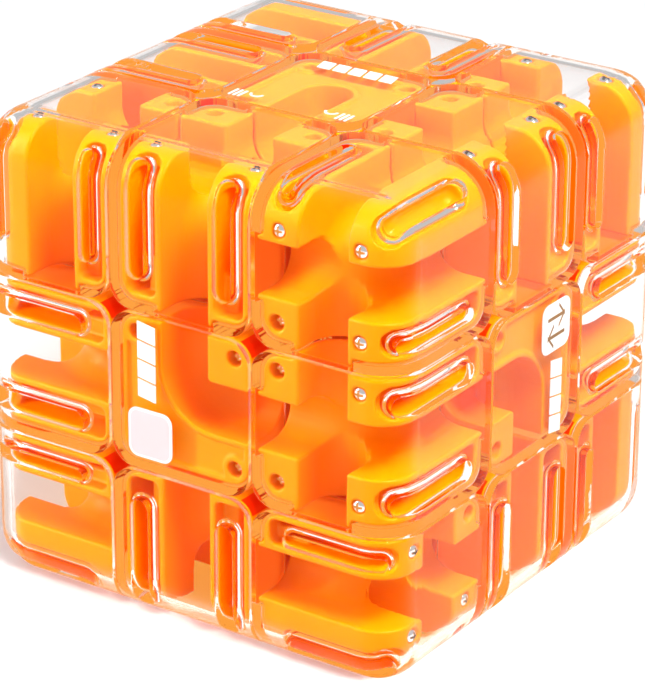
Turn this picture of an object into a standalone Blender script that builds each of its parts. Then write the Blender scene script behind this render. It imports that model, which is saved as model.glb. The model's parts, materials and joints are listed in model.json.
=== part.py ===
"""A turning maze cube: 26 clear covers over orange maze mouldings on a six-armed core, with a steel ball.

Run it with: blender --background --python part.py
Metres, +Z up. The origin is the middle of the cube. -Y is the front, +X the right side.
The cube is cut like a three by three by three puzzle. Inside a ball of radius SHELL, the cuts lie nearer the
middle, at LOCK instead of CUT, so that each moulding has a foot that its neighbours hold in."""

from math import cos, pi, radians, sin

import bmesh
import bpy
from mathutils import Matrix, Vector

MM = 0.001

# The cube and its cuts
CUBE = 69 * MM
HALF = CUBE / 2
CUT = CUBE / 6  # a layer's outer cut, from the middle of the cube
PLAY = 0.2 * MM  # what each piece leaves free at a cut
EDGE_ROUND = 6.5 * MM  # the cube's own edges
WINDOW_ROUND = 3.5 * MM  # a block's corners where four blocks meet
REACH = 40 * MM  # cutters end here, outside the cube
ROUND_STEPS = 2
BALL_SIDES = 16
CHANNEL_STEPS = 4
BEND_STEPS = 2
SHARP = radians(40)  # edges sharper than this aren't shaded smooth

# The clear covers
WALL = 1.5 * MM
SKIRT = 0.7 * MM
COVER_DEPTH = 9 * MM
FIT = 0.3 * MM  # between a cover and its moulding

# The maze mouldings
TRAY = HALF - WALL - FIT  # the mouldings' outer faces, from the middle of the cube
BALL_WAY = 3.75 * MM  # half a channel's width, and the radius of its round floor
FLOOR = TRAY - 2 * BALL_WAY
FLOOR_BEND = 6 * MM  # where a channel goes round an edge of the cube
CROSSING = 22 * MM  # the channels along a layer, from the middle of the cube
RIB = 1.1 * MM  # the wall between a channel and the pocket beside it
RIM = 1.0 * MM
POCKET_DEPTH = 5.7 * MM
POCKET_END = 30.5 * MM
TURN = 4.3 * MM  # the middle line of a centre's bent channel

# The turning mechanism
SHELL = 24 * MM
LOCK = 7 * MM
NECK = CUT + 2 * PLAY  # a moulding's neck, between its foot and its tray, starts here
NECK_TOP = 20 * MM
CORE_ARM = 4.5 * MM
CORE_REACH = 12.7 * MM
HUB = 6 * MM
FOOT_START = 13 * MM
SHAFT = 1.5 * MM
HEAD = 3 * MM
HEAD_LOW, HEAD_HIGH = 20.3 * MM, 22.3 * MM
SCREW_END = 4.5 * MM
WELL_LOW, WELL_HIGH = 17 * MM, 24 * MM
BALL = 3 * MM

FACES = {
    "up": Vector((0, 0, 1)),
    "down": Vector((0, 0, -1)),
    "front": Vector((0, -1, 0)),
    "back": Vector((0, 1, 0)),
    "right": Vector((1, 0, 0)),
    "left": Vector((-1, 0, 0)),
}
# The first face of an edge or a corner is the one with the crossing channels.
EDGES = (
    ("up", "front"), ("up", "right"), ("left", "up"), ("back", "up"),
    ("front", "right"), ("left", "front"), ("back", "right"), ("left", "back"),
    ("down", "front"), ("down", "right"), ("down", "left"), ("down", "back"),
)
CORNERS = (
    ("front", "up", "right"), ("up", "front", "left"), ("up", "back", "right"), ("left", "up", "back"),
    ("right", "down", "front"), ("left", "down", "front"),
    ("down", "back", "right"), ("back", "down", "left"),
)
# A centre's channel: the side that it comes in at, and the side that it leaves by. One side is a dead end.
CENTRES = {
    "up": ("front",),
    "front": ("right", "up"),
    "right": ("down", "front"),
    "back": ("up", "left"),
    "left": ("front", "up"),
    "down": ("back",),
}
ORDER = ("up", "down", "front", "back", "right", "left")


def clear_scene():
    for obj in list(bpy.data.objects):
        bpy.data.objects.remove(obj, do_unlink=True)


def material(name, colour, roughness, metallic=0.0, transmission=0.0):
    made = bpy.data.materials.new(name)
    made.use_nodes = True
    shader = made.node_tree.nodes["Principled BSDF"]
    shader.inputs["Base Color"].default_value = (*colour, 1)
    shader.inputs["Roughness"].default_value = roughness
    shader.inputs["Metallic"].default_value = metallic
    shader.inputs["Transmission Weight"].default_value = transmission
    return made


def add(name, bm):
    """A mesh object from a bmesh, with its faces turned outwards."""
    bmesh.ops.recalc_face_normals(bm, faces=bm.faces)
    mesh = bpy.data.meshes.new(name)
    bm.to_mesh(mesh)
    bm.free()
    obj = bpy.data.objects.new(name, mesh)
    bpy.context.collection.objects.link(obj)
    return obj


def box(low, high, rounded=None, radius=0.0):
    """A box between two corners. rounded is a test of an edge's two ends, for the edges to round."""
    bm = bmesh.new()
    bmesh.ops.create_cube(bm, size=1)
    low, high = Vector(low), Vector(high)
    for vertex in bm.verts:
        vertex.co = [low[i] + (vertex.co[i] + 0.5) * (high[i] - low[i]) for i in range(3)]
    if rounded:
        chosen = [edge for edge in bm.edges if rounded(edge.verts[0].co, edge.verts[1].co)]
        bmesh.ops.bevel(bm, geom=chosen, offset=radius, segments=ROUND_STEPS, profile=0.5, affect="EDGES")
    return add("box", bm)


def ball(radius, segments=BALL_SIDES):
    bm = bmesh.new()
    bmesh.ops.create_uvsphere(bm, u_segments=segments, v_segments=segments // 2, radius=radius)
    return add("ball", bm)


def turned(profile, segments=10):
    """A solid turned round Z, from (radius, height) points that start and end on the axis."""
    bm = bmesh.new()
    rings = []
    for radius, height in profile:
        if radius == 0:
            rings.append([bm.verts.new((0, 0, height))])
            continue
        angles = [2 * pi * (i + 0.5) / segments for i in range(segments)]
        rings.append([bm.verts.new((radius * cos(a), radius * sin(a), height)) for a in angles])
    for lower, upper in zip(rings, rings[1:]):
        for i in range(segments):
            around = [lower[i % len(lower)], lower[(i + 1) % len(lower)],
                      upper[(i + 1) % len(upper)], upper[i % len(upper)]]
            bm.faces.new(list(dict.fromkeys(around)))
    return add("turned", bm)


def boolean(obj, other, operation):
    other.hide_render = True
    other.display_type = "WIRE"
    modifier = obj.modifiers.new(operation.lower(), "BOOLEAN")
    modifier.operation = operation
    modifier.object = other
    return obj


def cut(obj, *others):
    for other in others:
        boolean(obj, other, "DIFFERENCE")
    return obj


def join(obj, *others):
    for other in others:
        boolean(obj, other, "UNION")
    return obj


def keep(obj, *others):
    for other in others:
        boolean(obj, other, "INTERSECT")
    return obj


def shape_of(obj, name):
    """The finished mesh of an object, its modifiers worked out. Every helper made so far is removed."""
    graph = bpy.context.evaluated_depsgraph_get()
    mesh = bpy.data.meshes.new_from_object(obj.evaluated_get(graph))
    mesh.name = name
    clear_scene()
    return mesh


# The blocks of the cube, made for an outward +Z, +X +Z or +X +Y +Z, and turned into place afterwards

def spans(outward, side_inset):
    """A block's lowest and highest coordinate along X, Y and Z, where its outer sides run on to REACH."""
    half = CUT - PLAY - side_inset
    return [(CUT + PLAY + side_inset, REACH) if out else (-half, half) for out in outward]


def block(outward, side_inset, top_inset, radius):
    """A block's outer shape, its sides and its top moved in by the two insets."""
    limits = spans(outward, side_inset)
    low = [limit[0] for limit in limits]
    high = [limit[1] for limit in limits]
    half = HALF - top_inset
    whole = box((-half,) * 3, (half,) * 3, lambda a, b: True, EDGE_ROUND - top_inset)
    for axis in range(3):
        if not outward[axis]:
            continue

        def inner_corner(a, b, axis=axis):
            along = abs(a[axis] - b[axis]) > MM
            inside = all(abs(a[i]) < HALF for i in range(3) if i != axis)
            return along and inside

        keep(whole, box(low, high, inner_corner, radius))
    return whole


def channel(frames):
    """A channel's cutter along (floor point, outward direction, way along it) frames, with a round floor."""
    arc = [pi * i / CHANNEL_STEPS for i in range(CHANNEL_STEPS + 1)]
    outline = [(-BALL_WAY * cos(a), BALL_WAY * (1 - sin(a))) for a in arc]
    outline = [(-BALL_WAY, 3 * BALL_WAY + EDGE_ROUND)] + outline + [(BALL_WAY, 3 * BALL_WAY + EDGE_ROUND)]
    bm = bmesh.new()
    rings = []
    for point, outward, along in frames:
        across = along.cross(outward)
        rings.append([bm.verts.new(point + across * u + outward * h) for u, h in outline])
    for before, after in zip(rings, rings[1:]):
        for i in range(len(outline)):
            j = (i + 1) % len(outline)
            bm.faces.new((before[i], before[j], after[j], after[i]))
    bm.faces.new(rings[0])
    bm.faces.new(rings[-1])
    return add("channel", bm)


def over_the_edge(side, lateral):
    """A channel that comes up one face, goes round the cube's edge, and leaves along the +Z face."""
    other = Vector((0, 1, 0)) if side.x else Vector((1, 0, 0))
    up = Vector((0, 0, 1))
    offset = other * lateral
    bend = FLOOR - FLOOR_BEND
    frames = [(offset + side * FLOOR + up * LOCK, side, up)]
    for step in range(BEND_STEPS + 1):
        angle = pi / 2 * step / BEND_STEPS
        out = side * cos(angle) + up * sin(angle)
        along = up * cos(angle) - side * sin(angle)
        frames.append((offset + (side + up) * bend + out * FLOOR_BEND, out, along))
    frames.append((offset + side * LOCK + up * FLOOR, up, -side))
    return channel(frames)


def straight(start, end):
    """A straight channel on the +Z face."""
    outward = Vector((0, 0, 1))
    along = (end - start).normalized()
    return channel([(start, outward, along), (end, outward, along)])


def pocket(side, near, far):
    """The pocket beside a channel, on the face of one axis, between two places along the other."""
    other = Vector((0, 1, 0)) if side.x else Vector((1, 0, 0))
    up = Vector((0, 0, 1))
    low = side * (TRAY - POCKET_DEPTH) + other * near + up * (CUT + PLAY + SKIRT + FIT + RIM)
    high = side * REACH + other * far + up * POCKET_END
    return box(low, high)


def side_pockets(side, lateral):
    """The pockets beside a channel that runs up one face: two on an edge, and the inner one on a corner."""
    wide = BALL_WAY + RIB
    if lateral == 0:
        end = CUT - PLAY - SKIRT - FIT - RIM
        return [pocket(side, -end, -wide), pocket(side, wide, end)]
    start = CUT + PLAY + SKIRT + FIT + RIM
    return [pocket(side, start, lateral - wide)]


def cover(outward, *channels):
    shell = block(outward, 0, 0, WINDOW_ROUND)
    cut(shell, block(outward, SKIRT, WALL, WINDOW_ROUND - SKIRT))
    inner = HALF - COVER_DEPTH
    cut(shell, box((-inner,) * 3, (inner,) * 3))
    # The channels go through the skirts and leave the outer wall whole.
    under_wall = block(outward, -MM, WALL, WINDOW_ROUND)
    return cut(shell, *(keep(way, under_wall) for way in channels))


def tray(outward):
    return block(outward, SKIRT + FIT, WALL + FIT, WINDOW_ROUND - SKIRT)


def turning_room():
    """The ball that the neighbours' feet turn in. Its flats lie outside SHELL."""
    return ball(SHELL / cos(pi / BALL_SIDES) ** 2 + PLAY)


def foot(low, high):
    """The part of a foot or stem that lies in the shell around the core."""
    body = box(low, high)
    keep(body, ball(SHELL - 2 * PLAY))
    return cut(body, ball(FOOT_START))


def crossing_channel():
    """The channel that runs along Y on an edge's +Z face and crosses the one that comes over the edge."""
    return straight(Vector((CROSSING, -CUT * 2, FLOOR)), Vector((CROSSING, CUT * 2, FLOOR)))


def build_edge_tray():
    side = Vector((1, 0, 0))
    lock, play = LOCK - PLAY, LOCK + PLAY
    body = cut(tray((True, False, True)), turning_room())
    join(body, box((NECK, -lock, NECK), (NECK_TOP, lock, NECK_TOP)))
    join(body, foot((play, -lock, play), (SHELL, lock, SHELL)))
    cut(body, over_the_edge(side, 0), crossing_channel(), *side_pockets(side, 0))
    return shape_of(body, "edge_tray")


def build_edge_cover():
    ways = [over_the_edge(Vector((1, 0, 0)), 0), crossing_channel()]
    return shape_of(cover((True, False, True), *ways), "edge_cover")


def build_corner_tray():
    play = LOCK + PLAY
    body = tray((True, True, True))
    join(body, box((NECK,) * 3, (NECK_TOP,) * 3), foot((play,) * 3, (SHELL,) * 3))
    for side in (Vector((1, 0, 0)), Vector((0, 1, 0))):
        cut(body, over_the_edge(side, CROSSING), *side_pockets(side, CROSSING))
    return shape_of(body, "corner_tray")


def build_corner_cover():
    ways = [over_the_edge(side, CROSSING) for side in (Vector((1, 0, 0)), Vector((0, 1, 0)))]
    return shape_of(cover((True, True, True), *ways), "corner_cover")


def bent_channel():
    """A centre's channel, in from +X and out at +Y."""
    up = Vector((0, 0, 1))
    far = CUT * 1.5
    frames = [(Vector((far, 0, FLOOR)), up, Vector((-1, 0, 0)))]
    for step in range(BEND_STEPS + 1):
        angle = pi / 2 * step / BEND_STEPS
        point = Vector((TURN * (1 - sin(angle)), TURN * (1 - cos(angle)), FLOOR))
        frames.append((point, up, Vector((-cos(angle), sin(angle), 0))))
    frames.append((Vector((0, far, FLOOR)), up, Vector((0, 1, 0))))
    return channel(frames)


def dead_end():
    """A centre's channel, in from +X to a round end at the middle."""
    return straight(Vector((CUT * 1.5, 0, FLOOR)), Vector((0, 0, FLOOR)))


def round_end():
    """The round end of a channel that stops at the middle of a centre, a hair above the channel's floor."""
    bottom = FLOOR + PLAY / 2
    angles = [pi / 2 * i / 3 for i in range(4)]
    arc = [(BALL_WAY * sin(a), bottom + BALL_WAY * (1 - cos(a))) for a in angles]
    return turned(arc + [(BALL_WAY, REACH), (0, REACH)], 12)


def screw_room():
    """The bore for a centre's axle screw, and the well that its head and spring sit in."""
    bore = SHAFT + FIT
    well = HEAD + 2 * FIT
    return turned([(0, FOOT_START - MM), (bore, FOOT_START - MM), (bore, WELL_LOW), (well, WELL_LOW),
                   (well, WELL_HIGH), (0, WELL_HIGH)])


def build_centre_tray(bent):
    lock = LOCK - PLAY
    body = cut(tray((False, False, True)), turning_room())
    join(body, box((-lock, -lock, FOOT_START), (lock, lock, TRAY - MM)))
    ways = [bent_channel()] if bent else [dead_end(), round_end()]
    return shape_of(cut(body, *ways, screw_room()), "centre_tray")


def build_centre_cover(bent):
    ways = [bent_channel()] if bent else [dead_end()]
    return shape_of(cover((False, False, True), *ways), "centre_cover")


def build_core():
    """Three crossed arms on a hub, with a blind hole in each of the six ends."""
    body = box((-HUB,) * 3, (HUB,) * 3)
    for turn in (Matrix(), Matrix.Rotation(pi / 2, 4, "X"), Matrix.Rotation(pi / 2, 4, "Y")):
        arm = turned([(0, -CORE_REACH), (CORE_ARM, -CORE_REACH), (CORE_ARM, CORE_REACH), (0, CORE_REACH)])
        arm.data.transform(turn)
        join(body, arm)
    bore = SHAFT + FIT
    deep = SCREW_END - FIT
    for face in FACES.values():
        hole = turned([(0, deep), (bore, deep), (bore, REACH), (0, REACH)])
        hole.data.transform(face.to_track_quat("Z", "Y").to_matrix().to_4x4())
        cut(body, hole)
    return shape_of(body, "core")


def build_axle_screw():
    body = turned([(0, SCREW_END), (SHAFT, SCREW_END), (SHAFT, HEAD_LOW), (HEAD, HEAD_LOW), (HEAD, HEAD_HIGH),
                   (0, HEAD_HIGH)])
    return shape_of(body, "axle_screw")


def place(name, mesh, finish, turn):
    """A piece of the cube, its mesh turned from the pattern's own place to the block's."""
    own = mesh.copy()
    own.name = name
    own.materials.clear()
    own.materials.append(finish)
    own.shade_smooth()
    own.set_sharp_from_angle(angle=SHARP)
    obj = bpy.data.objects.new(name, own)
    obj.matrix_world = turn
    bpy.context.collection.objects.link(obj)


def turn_to(x, z):
    """The turn that takes +X and +Z to two faces."""
    return Matrix((x, z.cross(x), z)).transposed().to_4x4()


def corner_turn(crossed, one, other):
    """The same for a corner, whose other two faces can go either way round."""
    z = FACES[crossed]
    x, y = FACES[one], FACES[other]
    return turn_to(x, z) if x.cross(y).dot(z) > 0 else turn_to(y, z)


def centre_turn(face, ways):
    """The turn that takes +Z to a centre's face and its channel's first side, +X, to one of its ways."""
    z = FACES[face]
    x = FACES[ways[0]]
    if len(ways) == 2 and x.cross(FACES[ways[1]]).dot(z) < 0:
        x = FACES[ways[1]]
    return turn_to(x, z)


def block_name(faces):
    return "_".join(sorted(faces, key=ORDER.index))


def main():
    clear_scene()
    orange = material("orange_moulding", (1.0, 0.26, 0.01), 0.35)
    clear = material("clear_cover", (0.98, 0.95, 0.95), 0.05, transmission=1.0)
    steel = material("steel", (0.75, 0.75, 0.78), 0.2, metallic=1.0)
    red = material("core_plastic", (0.9, 0.12, 0.02), 0.45)

    edge_tray, edge_cover = build_edge_tray(), build_edge_cover()
    corner_tray, corner_cover = build_corner_tray(), build_corner_cover()
    centre_trays = {bent: build_centre_tray(bent) for bent in (False, True)}
    centre_covers = {bent: build_centre_cover(bent) for bent in (False, True)}
    core, axle_screw = build_core(), build_axle_screw()
    steel_ball = shape_of(ball(BALL, 12), "steel_ball")

    for face, ways in CENTRES.items():
        turn = centre_turn(face, ways)
        place(f"{face}_centre_tray", centre_trays[len(ways) == 2], orange, turn)
        place(f"{face}_centre_cover", centre_covers[len(ways) == 2], clear, turn)
        place(f"{face}_axle_screw", axle_screw, steel, turn)
    for crossed, plain in EDGES:
        turn = turn_to(FACES[plain], FACES[crossed])
        name = block_name((crossed, plain))
        place(f"{name}_edge_tray", edge_tray, orange, turn)
        place(f"{name}_edge_cover", edge_cover, clear, turn)
    for faces in CORNERS:
        turn = corner_turn(*faces)
        name = block_name(faces)
        place(f"{name}_corner_tray", corner_tray, orange, turn)
        place(f"{name}_corner_cover", corner_cover, clear, turn)
    place("core", core, red, Matrix())
    # The ball lies at the low end of the channel in the lower back edge, where it turns under the cube.
    way = FLOOR + BALL_WAY
    rest = FACES["back"] * way + FACES["down"] * way
    place("steel_ball", steel_ball, steel, Matrix.Translation(rest))


main()
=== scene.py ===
# %% [markdown]
# # A turning maze cube
#
# The object is a hand-sized puzzle: 26 blocks turn on a six-armed core, as on a three by three by three
# cube. Each block is a bright orange maze moulding under a clear cover, and a steel ball rolls through
# the channels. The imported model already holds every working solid. This lesson makes the finished
# surfaces round it: softly moulded orange, clear plastic with grip grooves, small chrome screws and
# printed marks.

# %% Load the working model
import json
from math import cos, hypot, pi, radians, sin

import bmesh
import bpy
from mathutils import Matrix, Vector

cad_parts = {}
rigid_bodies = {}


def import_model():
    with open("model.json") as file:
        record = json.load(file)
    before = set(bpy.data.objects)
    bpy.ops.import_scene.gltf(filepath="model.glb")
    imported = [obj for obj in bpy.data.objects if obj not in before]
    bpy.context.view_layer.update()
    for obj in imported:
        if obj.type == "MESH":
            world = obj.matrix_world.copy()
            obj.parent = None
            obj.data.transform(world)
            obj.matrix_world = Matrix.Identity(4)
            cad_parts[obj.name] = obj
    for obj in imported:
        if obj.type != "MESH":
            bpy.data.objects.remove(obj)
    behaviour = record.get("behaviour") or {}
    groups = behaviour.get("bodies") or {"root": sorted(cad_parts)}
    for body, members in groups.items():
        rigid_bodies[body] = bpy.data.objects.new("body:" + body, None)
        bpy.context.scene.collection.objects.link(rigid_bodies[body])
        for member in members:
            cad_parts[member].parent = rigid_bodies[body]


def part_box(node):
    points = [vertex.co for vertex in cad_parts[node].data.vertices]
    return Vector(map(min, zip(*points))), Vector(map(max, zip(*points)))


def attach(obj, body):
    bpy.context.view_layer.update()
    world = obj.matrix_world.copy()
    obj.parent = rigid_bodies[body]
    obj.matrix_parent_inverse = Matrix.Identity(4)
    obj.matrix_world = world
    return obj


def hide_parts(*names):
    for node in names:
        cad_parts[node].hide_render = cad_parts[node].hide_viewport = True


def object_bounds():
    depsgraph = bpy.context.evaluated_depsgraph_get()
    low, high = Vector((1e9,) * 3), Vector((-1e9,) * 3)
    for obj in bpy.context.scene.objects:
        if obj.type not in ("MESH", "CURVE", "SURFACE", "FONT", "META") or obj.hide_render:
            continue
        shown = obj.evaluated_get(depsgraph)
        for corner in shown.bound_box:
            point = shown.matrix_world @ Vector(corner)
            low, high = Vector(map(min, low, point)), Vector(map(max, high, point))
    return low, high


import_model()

cad_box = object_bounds()

# %% [markdown]
# ## Sizes
#
# All sizes follow from the cube itself. A layer is a third of its height, and a block's outer corners
# follow from that. Working in millimetres keeps the numbers readable, so one constant turns them into
# metres.

# %% Driving sizes
MM = 0.001
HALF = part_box("up_centre_cover")[1].z  # the cube's outer face, from its middle
CUT = HALF / 3
PLAY = 0.2 * MM
EDGE_ROUND = 6.5 * MM
WINDOW_ROUND = 3.5 * MM
REACH = 40 * MM  # cutters end here, outside the cube
print("the cube is", round(2 * HALF / MM, 2), "mm wide, and a layer", round(2 * CUT / MM, 2), "mm")

# %% Clear covers and orange mouldings
WALL = 1.5 * MM
SKIRT = 0.7 * MM
COVER_DEPTH = 9 * MM
FIT = 0.3 * MM
TRAY = HALF - WALL - FIT
INSET = SKIRT + FIT
BALL_WAY = 3.75 * MM
FLOOR = TRAY - 2 * BALL_WAY
FLOOR_BEND = 6 * MM
CROSSING = 22 * MM
RIB = 1.0 * MM
RIM = 0.9 * MM
POCKET_DEPTH = 5.7 * MM
POCKET_END = 30.5 * MM
TURN = 4.3 * MM
print("a channel is", 2 * BALL_WAY / MM, "mm wide, its floor", round(FLOOR / MM, 2), "mm from the middle")

# %% The turning mechanism
SHELL = 24 * MM
LOCK = 7 * MM
NECK = CUT + 2 * PLAY
NECK_TOP = 20 * MM
FOOT_START = 13 * MM
SHAFT = 1.5 * MM
HEAD = 3 * MM
HEAD_LOW = 20.3 * MM
HEAD_HIGH = 22.3 * MM
WELL_LOW = 17 * MM
WELL_HIGH = 24 * MM
SCREW_END = 4.5 * MM
CORE_REACH = 12.7 * MM
CORE_ARM = 4.5 * MM
CORE_HUB = 6 * MM
BALL = 3 * MM

X, Y, Z = Vector((1, 0, 0)), Vector((0, 1, 0)), Vector((0, 0, 1))
FACES = {"up": Z, "down": -Z, "front": -Y, "back": Y, "right": X, "left": -X}
ORDER = ("up", "down", "front", "back", "right", "left")

# %% [markdown]
# ## Solids from a few strokes
#
# A moulding is easy to describe as a block with things taken away, so each one is made by Booleans, the
# way a toolmaker thinks of the mould. The strokes are few: a brick with rounded edges, a trough pushed
# along a path, and a turned shape. A Boolean alone leaves knife-sharp edges, which nothing moulded has.
# The finished cut is therefore rebuilt from small cubes with a voxel Remesh, eased with Smooth, and
# thinned with Decimate. That gives every rim and rib the same soft lip, however complicated the cut is.

# %% Bricks and turned shapes
def solid(bm):
    """An object from a bmesh, its faces turned outwards."""
    bmesh.ops.recalc_face_normals(bm, faces=bm.faces)
    mesh = bpy.data.meshes.new("stroke")
    bm.to_mesh(mesh)
    bm.free()
    made = bpy.data.objects.new("stroke", mesh)
    bpy.context.collection.objects.link(made)
    return made


def brick(low, high, radius=0.0, chosen=lambda a, b: True, steps=4):
    """A box between two corners. chosen picks the edges to round, from their two ends."""
    bm = bmesh.new()
    bmesh.ops.create_cube(bm, size=1)
    for corner in bm.verts:
        corner.co = [low[i] + (corner.co[i] + 0.5) * (high[i] - low[i]) for i in range(3)]
    if radius:
        rounded = [edge for edge in bm.edges if chosen(edge.verts[0].co, edge.verts[1].co)]
        bmesh.ops.bevel(bm, geom=rounded, offset=radius, segments=steps, profile=0.5, affect="EDGES")
    return solid(bm)


def turned(profile, sides=32):
    """A solid turned round Z, from (radius, height) points that start and end on the axis."""
    bm = bmesh.new()
    rings = []
    for radius, height in profile:
        on_axis = radius < 0.001 * MM
        angles = [2 * pi * (i + 0.5) / sides for i in range(1 if on_axis else sides)]
        rings.append([bm.verts.new((radius * cos(a), radius * sin(a), height)) for a in angles])
    for lower, upper in zip(rings, rings[1:]):
        for i in range(sides):
            around = [lower[i % len(lower)], lower[(i + 1) % len(lower)],
                      upper[(i + 1) % len(upper)], upper[i % len(upper)]]
            bm.faces.new(list(dict.fromkeys(around)))
    return solid(bm)


print("strokes ready: brick and turned shape")


# %% Troughs along a path
def trough(frames, half, height, steps=10):
    """A solid with a half-round floor, pushed along (floor point, outward, along) frames."""
    arc = [pi * i / steps for i in range(steps + 1)]
    outline = [(-half * cos(a), half * (1 - sin(a))) for a in arc]
    outline = [(-half, height)] + outline + [(half, height)]
    bm = bmesh.new()
    rings = []
    for point, outward, along in frames:
        across = along.cross(outward)
        rings.append([bm.verts.new(point + across * u + outward * h) for u, h in outline])
    for before, after in zip(rings, rings[1:]):
        for i in range(len(outline)):
            j = (i + 1) % len(outline)
            bm.faces.new((before[i], before[j], after[j], after[i]))
    bm.faces.new(rings[0])
    bm.faces.new(rings[-1])
    return solid(bm)


def round_end(frame_at, half, height, steps=6):
    """The round end of a trough: a pin with a half-round tip, standing on the trough's last frame."""
    point, outward, _ = frame_at
    arc = [pi / 2 * i / steps for i in range(steps + 1)]
    pin = turned([(half * sin(a), half * (1 - cos(a))) for a in arc] + [(half, height), (0, height)])
    turn = outward.to_track_quat("Z", "Y").to_matrix().to_4x4()
    pin.data.transform(Matrix.Translation(point) @ turn)
    return pin


CHANNEL_TOP = 3 * BALL_WAY + EDGE_ROUND


def channel(frames, widen=0.0):
    """The cutter for a ball channel, or the same a little wider all round."""
    return trough(frames, BALL_WAY + widen, CHANNEL_TOP, steps=14)


print("strokes ready: trough and round end")


# %% Cutting, joining and easing
def combine(body, operation, others):
    for other in others:
        step = body.modifiers.new(operation.lower(), "BOOLEAN")
        step.operation = operation
        step.object = other
    return body


def cut(body, *others):
    return combine(body, "DIFFERENCE", others)


def join(body, *others):
    return combine(body, "UNION", others)


def keep(body, *others):
    return combine(body, "INTERSECT", others)


def worked_out(body):
    """A new object that holds the finished mesh of another, its modifiers worked out."""
    graph = bpy.context.evaluated_depsgraph_get()
    mesh = bpy.data.meshes.new_from_object(body.evaluated_get(graph))
    made = bpy.data.objects.new("worked_out", mesh)
    bpy.context.collection.objects.link(made)
    return made


def clear_strokes():
    """Removes every helper object made so far. The pieces themselves are only placed later."""
    helpers = ("stroke", "worked_out")
    for left in [o for o in bpy.context.collection.all_objects if o.name.startswith(helpers)]:
        bpy.data.objects.remove(left, do_unlink=True)


def moulded(body, name, grain=0.22 * MM, easing=5, faces=16000):
    """The finished mesh of a moulding: its cuts rebuilt at one grain, eased, and thinned."""
    fine = worked_out(body)
    rebuilt = fine.modifiers.new("grain", "REMESH")
    rebuilt.mode = "VOXEL"
    rebuilt.voxel_size = grain
    eased = fine.modifiers.new("easing", "SMOOTH")
    eased.factor = 0.5
    eased.iterations = easing
    fine = worked_out(fine)
    thinned = fine.modifiers.new("thinning", "DECIMATE")
    thinned.ratio = min(1, faces / (2 * len(fine.data.polygons)))
    evened = fine.modifiers.new("even_shading", "WEIGHTED_NORMAL")
    evened.weight = 100
    fine.data.shade_smooth()
    mesh = worked_out(fine).data
    mesh.name = name
    clear_strokes()
    print(name, "has", len(mesh.polygons), "faces")
    return mesh


print("tools ready: cut, join, keep and moulded")

# %% [markdown]
# ## A block of the cube
#
# Corner, edge and centre blocks share one outline: the rounded cube, cut by the planes of the layers,
# with round corners where four blocks meet. The outline is made for a block that faces +Z alone, +X and
# +Z, or +X, +Y and +Z, and each block of the cube is that pattern turned into place. Moving the outline
# inwards gives the inside of a cover, and moving it a little more gives the moulding under it.

# %% One outline, moved inwards as needed
def block(outward, side_inset, top_inset, radius):
    reach = CUT - PLAY - side_inset
    start = CUT + PLAY + side_inset
    low = [start if out else -reach for out in outward]
    high = [REACH if out else reach for out in outward]
    half = HALF - top_inset
    whole = brick((-half,) * 3, (half,) * 3, EDGE_ROUND - top_inset, steps=10)
    for axis in range(3):
        if outward[axis]:
            def inner_corner(a, b, axis=axis):
                inside = all(abs(a[i]) < HALF for i in range(3) if i != axis)
                return inside and abs(a[axis] - b[axis]) > MM

            keep(whole, brick(low, high, radius, inner_corner, steps=8))
    return whole


def over_the_edge(side, lateral, widen=0.0, bends=10):
    """A channel that comes up one face, goes round the cube's edge, and leaves along the +Z face."""
    offset = (Y if side.x else X) * lateral
    bend = FLOOR - FLOOR_BEND
    floor = FLOOR - widen
    frames = [(offset + side * floor + Z * LOCK, side, Z)]
    for step in range(bends + 1):
        angle = pi / 2 * step / bends
        out = side * cos(angle) + Z * sin(angle)
        along = Z * cos(angle) - side * sin(angle)
        frames.append((offset + (side + Z) * bend + out * (FLOOR_BEND - widen), out, along))
    frames.append((offset + side * LOCK + Z * floor, Z, -side))
    return channel(frames, widen)


def crossing_channel(widen=0.0):
    """The channel along Y on an edge's +Z face, which crosses the one that comes over the edge."""
    middle = X * CROSSING + Z * (FLOOR - widen)
    return channel([(middle - Y * CUT * 2, Z, Y), (middle + Y * CUT * 2, Z, Y)], widen)


print("an edge block's outline starts", round((CUT + PLAY) / MM, 2), "mm from the middle")

# %% [markdown]
# ## Grip grooves
#
# Beside each channel that runs over an edge, the clear cover has a grip groove: a narrow trough that
# starts on the flat face and ends part of the way round the rounded edge. It hangs into a pocket in the
# orange moulding. The same path serves three times, for the groove's outer wall, for its hollow, and for
# the pocket's round end.

# %% The path of a groove
GROOVE_WALL = 0.65 * MM
GROOVE_DEPTH = 3.4 * MM  # down to the underside of the groove
GROOVE_TURN = 34  # degrees round the rounded edge
GROOVE_START = 17.6 * MM
POCKET_START = CUT + PLAY + INSET + RIM
POCKET_GAP = 0.25 * MM


def groove_frames(side, offset, surface, start, depth, turn=GROOVE_TURN, bends=8):
    """Frames along a groove's floor, depth below the cover's outer face, which lies at surface along side."""
    bend = surface - EDGE_ROUND
    top = HALF - EDGE_ROUND
    frames = [(offset + side * (surface - depth) + Z * start, side, Z)]
    for step in range(bends + 1):
        angle = radians(turn) * step / bends
        out = side * cos(angle) + Z * sin(angle)
        along = Z * cos(angle) - side * sin(angle)
        frames.append((offset + side * bend + Z * top + out * (EDGE_ROUND - depth), out, along))
    return frames


def groove_solids(side, offset, surface, start, half, depth, height, turn=GROOVE_TURN):
    """The trough and its two round ends."""
    frames = groove_frames(side, offset, surface, start, depth, turn)
    ends = [round_end(frames[i], half, height) for i in (0, -1)]
    return [trough(frames, half, height), *ends]


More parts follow.
